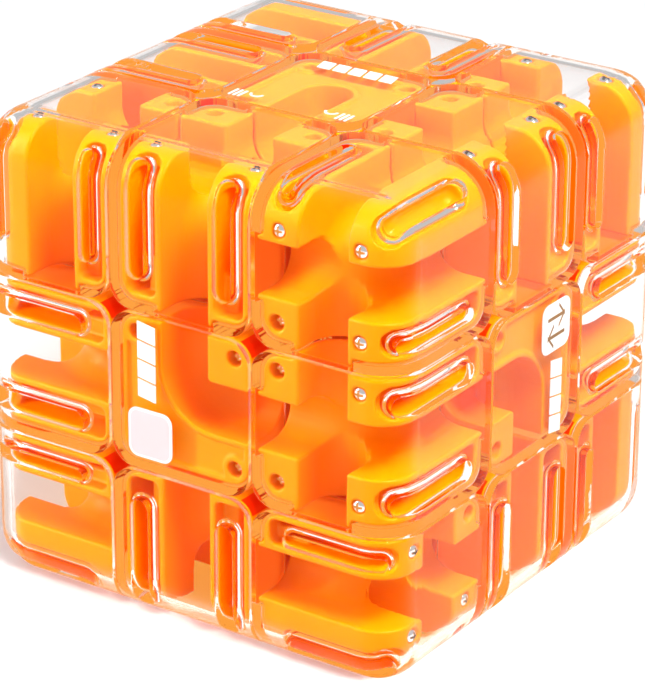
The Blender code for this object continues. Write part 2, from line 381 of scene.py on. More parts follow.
def groove_places(outward):
    """Each groove of a block: its side, its offset along the edge, its surface, and half its outer width."""
    if not outward[1]:
        near, far = BALL_WAY + RIB, CUT - PLAY - INSET - RIM
        half = (far - near) / 2 - POCKET_GAP
        return [(X, Y * sign * (near + far) / 2, HALF, half) for sign in (-1, 1)]
    near, far = POCKET_START, CROSSING - BALL_WAY - RIB
    half = (far - near) / 2 - POCKET_GAP
    beside = (near + far) / 2
    diagonal = (X + Y).normalized()
    surface = hypot(HALF - EDGE_ROUND, HALF - EDGE_ROUND) + EDGE_ROUND
    return [(X, Y * beside, HALF, half), (Y, X * beside, HALF, half),
            (diagonal, Vector(), surface, 2.0 * MM)]


for outward in ((True, False, True), (True, True, True)):
    print("groove widths in mm:", [round(2 * place[3] / MM, 2) for place in groove_places(outward)])

# %% [markdown]
# ## Orange mouldings
#
# An edge moulding has a channel that climbs over the cube's edge and a second one that crosses it, which
# leaves four posts. Pockets beside the channel make room for the grip grooves, and a small boss fills a
# corner of each pocket. Screws hold the posts: two sit deep in wells near the middle of the face, and two
# bright ones stand just proud. A corner has two climbing channels and one more pocket, on the rounded
# edge between its faces. Where a channel leaves a block, a thin collar of the moulding reaches out
# through the cover's skirt, so that the ball never rolls on the clear plastic.

# %% Screw places and pockets
POCKET_FLOOR = GROOVE_DEPTH + 0.8 * MM
POCKET_TURN = GROOVE_TURN + 5
POCKET_ROUND = 0.9 * MM
GROOVE_CUT = 10 * MM  # high enough for a groove's cutter to pass the surface everywhere
BOSS_TOP = GROOVE_DEPTH + 0.5 * MM
BOSS_END = 18.6 * MM
BOSS_ROUND = 0.4 * MM
BOSS_SIDES = (2.6 * MM, 0.2 * MM)  # its two sides, from the groove's middle
WELL = 1.15 * MM
WELL_DEPTH = 1.9 * MM
SEAT = 1.0 * MM
SEAT_DEPTH = 0.95 * MM
NEAR_SCREW = 14.8 * MM
FAR_SCREW = 27.6 * MM
SIDE_SCREW = 8.0 * MM
CORNER_SCREW = 15.1 * MM


def screw_places(outward):
    """Where a block's screws stand: (x, y, whether the screw lies in a deep well)."""
    if not outward[0]:
        return [(x, y, True) for x in (-SIDE_SCREW, SIDE_SCREW) for y in (-SIDE_SCREW, SIDE_SCREW)]
    if not outward[1]:
        return [(x, y, x == NEAR_SCREW) for x in (NEAR_SCREW, FAR_SCREW) for y in (-SIDE_SCREW, SIDE_SCREW)]
    return [(NEAR_SCREW, NEAR_SCREW, True), (FAR_SCREW, CORNER_SCREW, False),
            (CORNER_SCREW, FAR_SCREW, False), (FAR_SCREW, FAR_SCREW, False)]


def screw_holes(outward):
    holes = []
    for x, y, deep in screw_places(outward):
        radius, depth = (WELL, WELL_DEPTH) if deep else (SEAT, SEAT_DEPTH)
        hole = turned([(0, TRAY - depth), (radius, TRAY - depth), (radius, REACH), (0, REACH)], sides=24)
        hole.data.transform(Matrix.Translation((x, y, 0)))
        holes.append(hole)
    return holes


def pockets(outward):
    """The pockets that the grip grooves hang into: square where the groove is straight, round at its end."""
    made = []
    for side, offset, surface, half in groove_places(outward):
        half += POCKET_GAP
        made += groove_solids(side, offset, surface, GROOVE_START, half, POCKET_FLOOR, GROOVE_CUT,
                              POCKET_TURN)
        if surface == HALF:
            other = Y if side.x else X
            low = side * (TRAY - POCKET_DEPTH) + offset - other * half + Z * POCKET_START
            high = side * REACH + offset + other * half + Z * POCKET_END
            made.append(brick(low, high, POCKET_ROUND))
    return made


def bosses(outward):
    """A small boss in the inner corner of each side pocket, beside the channel's wall."""
    made = []
    for side, offset, surface, half in groove_places(outward):
        if surface == HALF:
            other = Y if side.x else X
            beside = offset.dot(other)
            away = -1 if beside > 0 and not outward[1] else 1
            near, far = BOSS_SIDES
            low = side * (TRAY - POCKET_DEPTH - MM) + other * (beside + away * near) + Z * (POCKET_START - MM)
            high = side * (HALF - BOSS_TOP) + other * (beside - away * far) + Z * BOSS_END
            corners = [[min(a, b) for a, b in zip(low, high)], [max(a, b) for a, b in zip(low, high)]]
            made.append(brick(*corners, BOSS_ROUND))
    return made


print("an edge has", len(screw_places((True, False, True))), "screws")


# %% Edge and corner mouldings
def globe(radius, steps=24, sides=48):
    angles = [pi * i / steps for i in range(steps + 1)]
    return turned([(radius * sin(a), -radius * cos(a)) for a in angles], sides)


def turning_room():
    return globe(SHELL + 3 * PLAY, steps=32, sides=64)


def foot(low, high):
    """The foot that the neighbouring blocks hold in, shaped to the ball-shaped space round the core."""
    body = brick(low, high)
    return cut(keep(body, globe(SHELL - 2 * PLAY)), globe(FOOT_START))


def tray(outward):
    return block(outward, INSET, WALL + FIT, WINDOW_ROUND - SKIRT)


COLLAR = 0.8 * MM


def edge_channels(widen=0.0):
    return [over_the_edge(X, 0, widen), crossing_channel(widen)]


def corner_channels(widen=0.0):
    return [over_the_edge(X, CROSSING, widen), over_the_edge(Y, CROSSING, widen)]


def collars(outward, ways):
    """Where a channel leaves a block, the moulding reaches through the cover's skirt as a thin collar."""
    return [keep(way, block(outward, 0, WALL + 1.2 * FIT, WINDOW_ROUND)) for way in ways]


def edge_moulding():
    outward = (True, False, True)
    lock, play = LOCK - PLAY, LOCK + PLAY
    body = cut(tray(outward), turning_room())
    join(body, brick((NECK, -lock, NECK), (NECK_TOP, lock, NECK_TOP)))
    join(body, foot((play, -lock, play), (SHELL, lock, SHELL)))
    cut(body, *pockets(outward))
    join(body, *bosses(outward), *collars(outward, edge_channels(COLLAR)))
    cut(body, *edge_channels(), *screw_holes(outward))
    return moulded(body, "edge_moulding")


def corner_moulding():
    outward = (True, True, True)
    play = LOCK + PLAY
    body = tray(outward)
    join(body, brick((NECK,) * 3, (NECK_TOP,) * 3), foot((play,) * 3, (SHELL,) * 3))
    cut(body, *pockets(outward))
    join(body, *bosses(outward), *collars(outward, corner_channels(COLLAR)))
    cut(body, *corner_channels(), *screw_holes(outward))
    return moulded(body, "corner_moulding")


edge_tray = edge_moulding()
corner_tray = corner_moulding()

# %% [markdown]
# ## Centre mouldings
#
# A centre has one short channel. On four faces it bends through a right angle, and on two it stops at the
# middle. Round the channel and along the border runs a low lip, with the rest of the plate a little
# deeper. Pushing a wider trough along the channel's own path gives the lip its shape.

# %% The channel's path and the sunk plate
LIP = 0.8 * MM
SUNK = 0.45 * MM


def bent_frames(height, bends=10):
    far = CUT * 1.5
    frames = [(X * far + Z * height, Z, -X)]
    for step in range(bends + 1):
        angle = pi / 2 * step / bends
        point = Vector((TURN * (1 - sin(angle)), TURN * (1 - cos(angle)), height))
        frames.append((point, Z, Vector((-cos(angle), sin(angle), 0))))
    frames.append((Y * far + Z * height, Z, Y))
    return frames


def dead_end_frames(height):
    return [(X * CUT * 1.5 + Z * height, Z, -X), (Z * height, Z, -X)]


def centre_way(bent, widen=0.0):
    """The cutter for a centre's channel, or a wider one for the lip round it."""
    frames = bent_frames(FLOOR - widen) if bent else dead_end_frames(FLOOR - widen)
    made = [channel(frames, widen)]
    if not bent:
        made.append(round_end(frames[-1], BALL_WAY + widen, CHANNEL_TOP))
    return made


def sunk_plate(bent):
    """What is cut from a centre's plate, inside its border and outside the lip of its channel."""
    reach = CUT - PLAY - INSET - LIP
    plate = brick((-reach, -reach, TRAY - SUNK), (reach, reach, REACH), 2 * MM,
                  lambda a, b: abs(a[2] - b[2]) > MM, steps=6)
    cut(plate, *centre_way(bent, LIP))
    for x, y, _ in screw_places((False, False, True)):
        well = turned([(0, 0), (WELL + LIP, 0), (WELL + LIP, REACH), (0, REACH)])
        well.data.transform(Matrix.Translation((x, y, 0)))
        cut(plate, well)
    return plate


def axle_room():
    bore, well = SHAFT + FIT, HEAD + 2 * FIT
    return turned([(0, FOOT_START - MM), (bore, FOOT_START - MM), (bore, WELL_LOW), (well, WELL_LOW),
                   (well, WELL_HIGH), (0, WELL_HIGH)])


def centre_moulding(bent):
    outward = (False, False, True)
    lock = LOCK - PLAY
    body = cut(tray(outward), turning_room())
    join(body, brick((-lock, -lock, FOOT_START), (lock, lock, TRAY - MM)))
    join(body, *collars(outward, centre_way(bent, COLLAR)[:1]))
    cut(body, *reversed(centre_way(bent)), worked_out(sunk_plate(bent)), *screw_holes(outward), axle_room())
    name = "bent_centre_moulding" if bent else "dead_end_centre_moulding"
    return moulded(body, name, grain=0.18 * MM)


centre_trays = {bent: centre_moulding(bent) for bent in (True, False)}

# %% [markdown]
# ## Clear covers
#
# A cover is a thin box, open below, with skirts that come down between the blocks. Where a channel leaves
# the block, the skirts open for the moulding's collar. A finer grain than the mouldings' keeps the thin
# skirts and the walls of the grip grooves whole, and less easing keeps their rims crisp enough to catch
# the light as thin lines.

# %% Shells with grooves
def cover(outward, channels, name):
    shell = block(outward, 0, 0, WINDOW_ROUND)
    cut(shell, block(outward, SKIRT, WALL, WINDOW_ROUND - SKIRT))
    inner = HALF - COVER_DEPTH
    cut(shell, brick((-inner,) * 3, (inner,) * 3))
    under_wall = block(outward, -MM, WALL, WINDOW_ROUND)
    cut(shell, *(keep(way, under_wall) for way in channels))
    if outward[0]:
        for side, offset, surface, half in groove_places(outward):
            join(shell, *groove_solids(side, offset, surface, GROOVE_START, half, GROOVE_DEPTH,
                                       GROOVE_DEPTH - WALL / 2))
        for side, offset, surface, half in groove_places(outward):
            hollow = half - GROOVE_WALL
            cut(shell, *groove_solids(side, offset, surface, GROOVE_START, hollow, GROOVE_DEPTH - GROOVE_WALL,
                                      GROOVE_CUT))
    return moulded(shell, name, grain=0.15 * MM, easing=3, faces=20000)


edge_cover = cover((True, False, True), edge_channels(COLLAR + FIT), "edge_cover")
corner_cover = cover((True, True, True), corner_channels(COLLAR + FIT), "corner_cover")
centre_covers = {bent: cover((False, False, True), centre_way(bent, COLLAR + FIT), "centre_cover")
                 for bent in (True, False)}

# %% [markdown]
# ## Screws, springs, core and ball
#
# The small screws are turned, with a domed head and a cross cut into it. One mesh holds the four screws
# of a block, because they are always seen together. Under each centre, an axle screw with a spring holds
# the centre to the core. They are hidden when the cube is whole, and they are what makes it turn, so they
# are modelled too.

# %% Small screws
SCREW_HEAD = 0.95 * MM
DOME = 0.55 * MM


def cross(width, length, low, high):
    return [brick((-a, -b, low), (a, b, high)) for a, b in ((width, length), (length, width))]


def small_screw(radius):
    """A domed head with a cross in it. Its top is at zero."""
    dome = [(radius * cos(pi / 2 * i / 8), DOME * (sin(pi / 2 * i / 8) - 1)) for i in range(8)]
    body = turned([(0, -2.4 * MM), (0.45 * MM, -2.2 * MM), (0.45 * MM, -0.8 * MM), (radius, -0.75 * MM)]
                  + dome + [(0, 0)], sides=28)
    return cut(body, *cross(0.17 * MM, radius * 0.66, -DOME, MM))


def screws_of(outward, name):
    body = None
    for x, y, deep in screw_places(outward):
        top = TRAY + (-1.0 * MM if deep else 0.15 * MM)
        one = worked_out(small_screw(SCREW_HEAD))
        one.data.transform(Matrix.Translation((x, y, top)))
        body = join(body, one) if body else one
    mesh = worked_out(body).data
    mesh.name = name
    mesh.shade_smooth()
    mesh.set_sharp_from_angle(angle=radians(35))
    clear_strokes()
    print(name, "has", len(mesh.polygons), "faces")
    return mesh


edge_screws = screws_of((True, False, True), "edge_screws")
corner_screws = screws_of((True, True, True), "corner_screws")
centre_screws = screws_of((False, False, True), "centre_screws")


# %% Axle screws and springs
def finished(body, name, sharp=35):
    mesh = worked_out(body).data
    mesh.name = name
    mesh.shade_smooth()
    mesh.set_sharp_from_angle(angle=radians(sharp))
    clear_strokes()
    print(name, "has", len(mesh.polygons), "faces")
    return mesh


def axle_screw():
    """A long screw with fine rings for its thread, and a cross in its flat head."""
    pitch, crest = 0.6 * MM, 0.12 * MM
    thread = [(SHAFT - crest, SCREW_END)]
    turns = int((FOOT_START - SCREW_END) / pitch)
    for i in range(turns):
        low = SCREW_END + i * pitch
        ring = ((SHAFT - crest, 0.1), (SHAFT, 0.5), (SHAFT - crest, 0.9))
        thread += [(radius, low + share * pitch) for radius, share in ring]
    ease = 0.3 * MM
    head = [(SHAFT, FOOT_START), (SHAFT, HEAD_LOW), (HEAD - ease, HEAD_LOW), (HEAD, HEAD_LOW + ease),
            (HEAD, HEAD_HIGH - ease), (HEAD - ease, HEAD_HIGH)]
    body = turned([(0, SCREW_END)] + thread + head + [(0, HEAD_HIGH)], sides=36)
    cut(body, *cross(0.4 * MM, 1.9 * MM, HEAD_HIGH - 1.1 * MM, HEAD_HIGH + MM))
    return finished(body, "axle_screw")


def spring():
    """A closed-end coil between the bottom of the well and the screw's head."""
    wire, coil, turns, per_turn = 0.3 * MM, 2.3 * MM, 4, 24
    low, high = WELL_LOW + wire, HEAD_LOW - wire
    bm = bmesh.new()
    rings = []
    count = turns * per_turn
    for i in range(count + 1):
        angle = 2 * pi * i / per_turn
        centre = Vector((coil * cos(angle), coil * sin(angle), low + (high - low) * i / count))
        out = Vector((cos(angle), sin(angle), 0))
        rings.append([bm.verts.new(centre + (out * cos(a) + Z * sin(a)) * wire)
                      for a in (2 * pi * k / 8 for k in range(8))])
    for before, after in zip(rings, rings[1:]):
        for k in range(8):
            bm.faces.new((before[k], before[(k + 1) % 8], after[(k + 1) % 8], after[k]))
    bm.faces.new(rings[0])
    bm.faces.new(rings[-1])
    return finished(solid(bm), "spring", sharp=60)


axle_screw_mesh = axle_screw()
spring_mesh = spring()


# %% Core and ball
def core():
    """Three crossed arms on a hub, with a blind hole in each of the six ends."""
    body = brick((-CORE_HUB,) * 3, (CORE_HUB,) * 3, 0.8 * MM)
    ease = 0.5 * MM
    profile = [(0, -CORE_REACH), (CORE_ARM - ease, -CORE_REACH), (CORE_ARM, ease - CORE_REACH),
               (CORE_ARM, CORE_REACH - ease), (CORE_ARM - ease, CORE_REACH), (0, CORE_REACH)]
    for turn in (Matrix(), Matrix.Rotation(pi / 2, 4, "X"), Matrix.Rotation(pi / 2, 4, "Y")):
        arm = turned(profile, sides=40)
        arm.data.transform(turn)
        join(body, arm)
    bore, deep = SHAFT + FIT, SCREW_END - FIT
    for face in FACES.values():
        hole = turned([(0, deep), (bore, deep), (bore, REACH), (0, REACH)])
        hole.data.transform(face.to_track_quat("Z", "Y").to_matrix().to_4x4())
        cut(body, hole)
    return moulded(body, "core", grain=0.25 * MM, easing=3, faces=14000)


core_mesh = core()
ball_mesh = finished(globe(BALL), "steel_ball", sharp=90)

# %% [markdown]
# ## Printed marks
#
# Centres carry white marks just under the clear surface: a rounded tag and a strip of slanted bars on the
# faces with a bent channel, and a row of bars with two small corner marks on the faces with a dead end.
# The marks are plain shapes and say nothing. Each is a thin plate, so it has a real thickness.

# %% Plates, bars and arrows
PRINT_TOP = HALF - 0.12 * MM
PRINT = 0.22 * MM


def plate(outline, low=PRINT_TOP - PRINT, high=PRINT_TOP):
    """A thin plate from a flat outline of (x, y) points."""
    bm = bmesh.new()
    floor = bm.faces.new([bm.verts.new((x, y, low)) for x, y in outline])
    top = bmesh.ops.extrude_face_region(bm, geom=[floor])
    raised = [v for v in top["geom"] if isinstance(v, bmesh.types.BMVert)]
    bmesh.ops.translate(bm, verts=raised, vec=(0, 0, high - low))
    return solid(bm)


def rounded_square(centre, half, radius, steps=8):
    points = []
    for quarter in range(4):
        middle = pi / 4 + quarter * pi / 2
        cx = centre[0] + (half - radius) * (1 if cos(middle) > 0 else -1)
        cy = centre[1] + (half - radius) * (1 if sin(middle) > 0 else -1)
        for i in range(steps + 1):
            angle = quarter * pi / 2 + pi / 2 * i / steps
            points.append((cx + radius * cos(angle), cy + radius * sin(angle)))
    return points


def slanted_bar(x0, x1, y0, y1, slant):
    return [(x0, y0), (x1, y0 - slant), (x1, y1 - slant), (x0, y1)]


def arrow(centre, length, width, direction):
    """A thin arrow with an open head, pointing one way or the other along X."""
    (x, y), d, w = centre, direction, width / 2
    tip, tail = x + d * length / 2, x - d * length / 2
    barb = length * 0.36
    return [[(tail, y - w), (tip, y - w), (tip, y + w), (tail, y + w)],
            [(tip, y), (tip, y + w * 2), (tip - d * barb, y - barb + w), (tip - d * barb, y - barb - w)],
            [(tip, y), (tip, y - w * 2), (tip - d * barb, y + barb - w), (tip - d * barb, y + barb + w)]]


def printed(outlines, name, low=PRINT_TOP - PRINT, high=PRINT_TOP):
    """One mesh from several plates that lie apart or overlap."""
    body = None
    for outline in outlines:
        one = plate(outline, low, high)
        body = join(body, one) if body else one
    return finished(body, name, sharp=40)


TAG = (-4.9 * MM, -5.9 * MM)
TAG_HALF = 3.6 * MM
STRIP = (-6.8 * MM, -3.9 * MM)
strip_marks = []
bar_gap = 0.28 * MM
bar_length = 2.5 * MM
for index in range(4):
    bar_start = -0.5 * MM + index * (bar_length + bar_gap)
    strip_marks.append(slanted_bar(*STRIP, bar_start, bar_start + bar_length, 0.5 * MM))
strip_mesh = printed(strip_marks, "strip_marks")
border_mesh = printed([rounded_square(TAG, TAG_HALF, 1.5 * MM)], "tag")
panel_mesh = printed([rounded_square(TAG, TAG_HALF - 0.4 * MM, 1.15 * MM)], "tag_panel",
                     PRINT_TOP - PRINT / 2, PRINT_TOP + 0.03 * MM)
arrow_outlines = [outline for y, way in ((-1.35 * MM, -1), (1.35 * MM, 1))
                  for outline in arrow((TAG[0], TAG[1] + y), 4.4 * MM, 0.5 * MM, way)]
arrows_mesh = printed(arrow_outlines, "tag_arrows", PRINT_TOP - PRINT / 2, PRINT_TOP + 0.03 * MM)

# %% Marks of the dead-end faces
row_marks = []
for index in range(5):
    bar_start = -6.4 * MM + index * 2.55 * MM
    row_marks.append([(-8.9 * MM, bar_start), (-6.3 * MM, bar_start + 0.5 * MM),
                      (-6.3 * MM, bar_start + 2.6 * MM), (-8.9 * MM, bar_start + 2.1 * MM)])
corner_marks = []
for side in (-1, 1):
    for index in range(3):
        y = side * (9.6 - 0.75 * index) * MM
        corner_marks.append([(7.3 * MM, y), (9.7 * MM, y), (9.7 * MM, y - side * 0.35 * MM),
                             (7.3 * MM, y - side * 0.35 * MM)])
    ring = [pi * i / 8 for i in range(9)]
    outer = [(7.6 * MM + 1.1 * MM * sin(a), side * 6.1 * MM + 1.1 * MM * cos(a)) for a in ring]
    inner = [(7.6 * MM + 0.75 * MM * sin(a), side * 6.1 * MM + 0.75 * MM * cos(a)) for a in reversed(ring)]
    corner_marks.append(outer + inner)
row_mesh = printed(row_marks + corner_marks, "row_marks")

# %% [markdown]
# ## Finishes
#
# Three effects are node groups. "Moulded grain" gives the slow unevenness that cooling leaves in a
# plastic surface. "Handling" gives the faint smudges and hairlines of a thing that is picked up all day.
# "Painted shade between blocks" finds the round corners where four blocks meet. Only light that has bounced
# from orange to orange gets in there, so a red is painted into them as painted shade. The groups put out
# values only, and the shaders stay in each material.

# %% Node groups
def new_group(name, inputs, outputs):
    group = bpy.data.node_groups.new(name, "ShaderNodeTree")
    for label, value in inputs.items():
        socket = group.interface.new_socket(label, in_out="INPUT", socket_type="NodeSocketFloat")
        socket.default_value = value
    for label in outputs:
        group.interface.new_socket(label, in_out="OUTPUT", socket_type="NodeSocketFloat")
    nodes = group.nodes
    return group, nodes.new("NodeGroupInput"), nodes.new("NodeGroupOutput")


def math_node(tree, operation, first, second):
    node = tree.nodes.new("ShaderNodeMath")
    node.operation = operation
    for socket, value in zip(node.inputs, (first, second)):
        if isinstance(value, (int, float)):
            socket.default_value = value
        else:
            tree.links.new(value, socket)
    return node.outputs[0]


def moulded_grain():
    """Slow flow marks and a fine texture, from noise in the piece's own space."""
    scales = {"Flow Scale": 90.0, "Fine Scale": 2200.0, "Fine Share": 0.15}
    group, given, result = new_group("moulded_grain", scales, ("Height", "Mottle"))
    place = group.nodes.new("ShaderNodeTexCoord").outputs["Object"]
    flow = group.nodes.new("ShaderNodeTexNoise")
    flow.inputs["Detail"].default_value = 2
    flow.inputs["Distortion"].default_value = 0.8
    fine = group.nodes.new("ShaderNodeTexNoise")
    fine.inputs["Detail"].default_value = 1
    for node, scale in ((flow, "Flow Scale"), (fine, "Fine Scale")):
        group.links.new(place, node.inputs["Vector"])
        group.links.new(given.outputs[scale], node.inputs["Scale"])
    share = math_node(group, "MULTIPLY", fine.outputs["Fac"], given.outputs["Fine Share"])
    group.links.new(math_node(group, "ADD", flow.outputs["Fac"], share), result.inputs["Height"])
    group.links.new(flow.outputs["Fac"], result.inputs["Mottle"])
    return group


def handling():
    """Broad smudges and stretched hairlines, as one mask from 0 to 1."""
    group, given, result = new_group("handling", {"Smudge Scale": 60.0, "Hairline Scale": 900.0}, ("Mask",))
    place = group.nodes.new("ShaderNodeTexCoord").outputs["Object"]
    smudge = group.nodes.new("ShaderNodeTexNoise")
    smudge.inputs["Detail"].default_value = 3
    group.links.new(place, smudge.inputs["Vector"])
    group.links.new(given.outputs["Smudge Scale"], smudge.inputs["Scale"])
    stretch = group.nodes.new("ShaderNodeMapping")
    stretch.inputs["Scale"].default_value = (1, 0.06, 0.3)
    stretch.inputs["Rotation"].default_value = (0.4, 0.7, 0.5)
    group.links.new(place, stretch.inputs["Vector"])
    hair = group.nodes.new("ShaderNodeTexNoise")
    group.links.new(stretch.outputs["Vector"], hair.inputs["Vector"])
    group.links.new(given.outputs["Hairline Scale"], hair.inputs["Scale"])
    lines = math_node(group, "GREATER_THAN", hair.outputs["Fac"], 0.68)
    both = math_node(group, "MULTIPLY", smudge.outputs["Fac"], 0.8)
    lines = math_node(group, "MULTIPLY", lines, 0.9)
    group.links.new(math_node(group, "MAXIMUM", both, lines), result.inputs["Mask"])
    return group


def largest_of(tree, three):
    return math_node(tree, "MAXIMUM", math_node(tree, "MAXIMUM", three[0], three[1]), three[2])


def between_blocks():
    """Mask of a painted shade: 1 on the round corners where four blocks meet, below their top edge, and 0
    elsewhere.
    """
    group, given, result = new_group("between_blocks", {"Layer Plane": CUT, "Corner Reach": 4.5 * MM,
                                                        "Top": TRAY - 0.35 * MM}, ("Mask",))
    place = group.nodes.new("ShaderNodeTexCoord").outputs["Object"]
    parts = group.nodes.new("ShaderNodeSeparateXYZ")
    group.links.new(place, parts.inputs["Vector"])
    sides = [math_node(group, "ABSOLUTE", parts.outputs[axis], 0) for axis in "XYZ"]
    near = [math_node(group, "ABSOLUTE", math_node(group, "SUBTRACT", side, given.outputs["Layer Plane"]), 0)
            for side in sides]
    total = math_node(group, "ADD", math_node(group, "ADD", near[0], near[1]), near[2])
    two_planes = math_node(group, "SUBTRACT", total, largest_of(group, near))
    beside = math_node(group, "LESS_THAN", two_planes, given.outputs["Corner Reach"])
    below = math_node(group, "LESS_THAN", largest_of(group, sides), given.outputs["Top"])
    group.links.new(math_node(group, "MULTIPLY", beside, below), result.inputs["Mask"])
    return group


GRAIN = moulded_grain()
HANDLING = handling()
# the mask for the red painted shade in the corners between blocks
PAINTED_SHADE = between_blocks()
print("node groups:", GRAIN.name, HANDLING.name, "and", PAINTED_SHADE.name)


# %% Building a finish
def finish(name, colour, roughness, metallic=0.0):
    made = bpy.data.materials.new(name)
    made.use_nodes = True
    shader = made.node_tree.nodes["Principled BSDF"]
    shader.inputs["Base Color"].default_value = (*colour, 1)
    shader.inputs["Roughness"].default_value = roughness
    shader.inputs["Metallic"].default_value = metallic
    return made, made.node_tree, shader


def placed_group(tree, group, **values):
    node = tree.nodes.new("ShaderNodeGroup")
    node.node_tree = group
    for label, value in values.items():
        node.inputs[label.replace("_", " ")].default_value = value
    return node


def ramp(tree, factor, low, high):
    """A value that runs from low to high as the factor runs from 0 to 1."""
    node = tree.nodes.new("ShaderNodeMapRange")
    node.inputs["To Min"].default_value = low
    node.inputs["To Max"].default_value = high
    tree.links.new(factor, node.inputs["Value"])
    return node.outputs["Result"]


def two_tone(tree, factor, first, second):
    node = tree.nodes.new("ShaderNodeMix")
    node.data_type = "RGBA"
    node.inputs[6].default_value = (*first, 1)
    node.inputs[7].default_value = (*second, 1)
    tree.links.new(factor, node.inputs[0])
    return node.outputs[2]


def bump(tree, height, distance, strength=1.0):
    node = tree.nodes.new("ShaderNodeBump")
    node.inputs["Distance"].default_value = distance
    node.inputs["Strength"].default_value = strength
    tree.links.new(height, node.inputs["Height"])
    return node.outputs["Normal"]


print("finish helpers ready")


# %% [markdown]
# ## Orange plastic
#
# The orange is dyed right through the plastic, so the colour hardly varies, and a textured mould leaves
# it with a satin gloss. Two close oranges mixed by the slow flow marks keep a large moulding from looking
# flat. A red painted shade goes into the corners between blocks. The core is the same plastic in a
# redder orange.

# %% Orange moulding and core plastic
def moulded_plastic(name, first, second, roughness, painted_shade_colour=None):
    made, tree, shader = finish(name, first, roughness)
    grain = placed_group(tree, GRAIN)
    colour = two_tone(tree, grain.outputs["Mottle"], first, second)
    # painted shade: a red painted into the corners between blocks, where only light bounced from orange to
    # orange reaches
    if painted_shade_colour:
        painted_shade_mask = placed_group(tree, PAINTED_SHADE).outputs["Mask"]
        painted_red = two_tone(tree, painted_shade_mask, first, painted_shade_colour)
        tree.links.new(colour, painted_red.node.inputs[6])
        colour = painted_red
    tree.links.new(colour, shader.inputs["Base Color"])
    tree.links.new(ramp(tree, grain.outputs["Mottle"], roughness - 0.06, roughness + 0.08),
                   shader.inputs["Roughness"])
    tree.links.new(bump(tree, grain.outputs["Height"], 0.03 * MM), shader.inputs["Normal"])
    shader.inputs["Specular IOR Level"].default_value = 0.3
    shader.inputs["Specular Tint"].default_value = (1.0, 0.6, 0.2, 1)
    return made


# the third colour is the red painted shade for the corners between blocks
orange_finish = moulded_plastic("orange_moulding", (0.99, 0.29, 0.0), (0.98, 0.26, 0.0), 0.36,
                                painted_shade_colour=(0.95, 0.02, 0.0))
core_finish = moulded_plastic("core_plastic", (0.85, 0.02, 0.002), (0.75, 0.012, 0.001), 0.45)
print("plastics ready:", orange_finish.name, "and", core_finish.name)


# %% [markdown]
# ## Clear plastic
#
# The covers are polished clear plastic, which refracts what is behind it. Lamps would need very many
# samples to shine through it, so for shadow rays it turns transparent. The skirts between the blocks trap
# the light that enters at their rims and pipe it along, as real clear plastic does. Following that takes
# dozens of bounces, so where light has bent a few times the plastic shows a painted orange glow instead,
# an emission that stands in for the piped light.

# %% Clear covers
# past this many bends the plastic shows a painted orange glow in place of light piped along a skirt
MOST_BENDS = 4  # light that has bent more often than this is piped along a skirt


def clear_plastic():
    """Clear plastic that lets lamps reach what is behind it, with a painted glow in place of piped light."""
    made, tree, shader = finish("clear_cover", (1.0, 0.985, 0.98), 0.02)
    shader.inputs["Transmission Weight"].default_value = 1.0
    shader.inputs["IOR"].default_value = 1.22
    shader.inputs["Specular Tint"].default_value = (0.1, 0.06, 0.03, 1)
    marks = placed_group(tree, HANDLING)
    tree.links.new(ramp(tree, marks.outputs["Mask"], 0.0, 0.035), shader.inputs["Roughness"])
    through = tree.nodes.new("ShaderNodeBsdfTransparent")
    through.inputs["Color"].default_value = (1.0, 0.98, 0.97, 1)
    path = tree.nodes.new("ShaderNodeLightPath")
    # painted light: an orange emission that stands in for the light piped along the skirts
    painted_glow = tree.nodes.new("ShaderNodeEmission")
    painted_glow.inputs["Color"].default_value = (1.0, 0.36, 0.05, 1)
    deep = math_node(tree, "GREATER_THAN", path.outputs["Ray Depth"], MOST_BENDS)
    surface = shader.outputs["BSDF"]
    for factor, other in ((deep, painted_glow.outputs["Emission"]),
                          (path.outputs["Is Shadow Ray"], through.outputs["BSDF"])):
        mix = tree.nodes.new("ShaderNodeMixShader")
        tree.links.new(factor, mix.inputs["Fac"])
        tree.links.new(surface, mix.inputs[1])
        tree.links.new(other, mix.inputs[2])
        surface = mix.outputs["Shader"]
    tree.links.new(surface, tree.nodes["Material Output"].inputs["Surface"])
    return made


clear_finish = clear_plastic()
print("clear plastic ready:", clear_finish.name)


# %% [markdown]
# ## Metal and ink
#
# The screws are plated and the ball is polished steel. Handling makes their gloss uneven, not their
# colour. Print ink is matt and opaque, and a little darker where it lies thin.

# %% Metals and prints
def bright_metal(name, colour, roughness):
    made, tree, shader = finish(name, colour, roughness, metallic=1.0)
    marks = placed_group(tree, HANDLING, Smudge_Scale=400.0, Hairline_Scale=2500.0)
    tree.links.new(ramp(tree, marks.outputs["Mask"], roughness * 0.6, roughness * 1.8),
                   shader.inputs["Roughness"])
    return made


def print_ink(name, colour):
    made, tree, shader = finish(name, colour, 0.4)
    grain = placed_group(tree, GRAIN, Fine_Scale=4000.0)
    darker = tuple(value * 0.94 for value in colour)
    tree.links.new(two_tone(tree, grain.outputs["Mottle"], colour, darker), shader.inputs["Base Color"])
    tree.links.new(bump(tree, grain.outputs["Height"], 0.01 * MM), shader.inputs["Normal"])
    return made


chrome_finish = bright_metal("screw_steel", (0.95, 0.95, 0.96), 0.12)
spring_finish = bright_metal("spring_steel", (0.55, 0.55, 0.56), 0.25)
ball_finish = bright_metal("ball_steel", (0.8, 0.8, 0.82), 0.06)
white_finish = print_ink("white_mark", (0.93, 0.92, 0.9))
panel_finish = print_ink("panel_grey", (0.72, 0.65, 0.67))
arrow_finish = print_ink("arrow_brown", (0.28, 0.13, 0.03))
print(len(bpy.data.materials), "finishes in the file")

# %% [markdown]
# ## Assembly
#
# Every pattern is turned into place by a matrix whose columns are the directions that +X, +Y and +Z end
# up in. Copies share one mesh, so a better pattern improves all of its blocks at once. Each piece rides
# on its block's body and stands for its working solid.

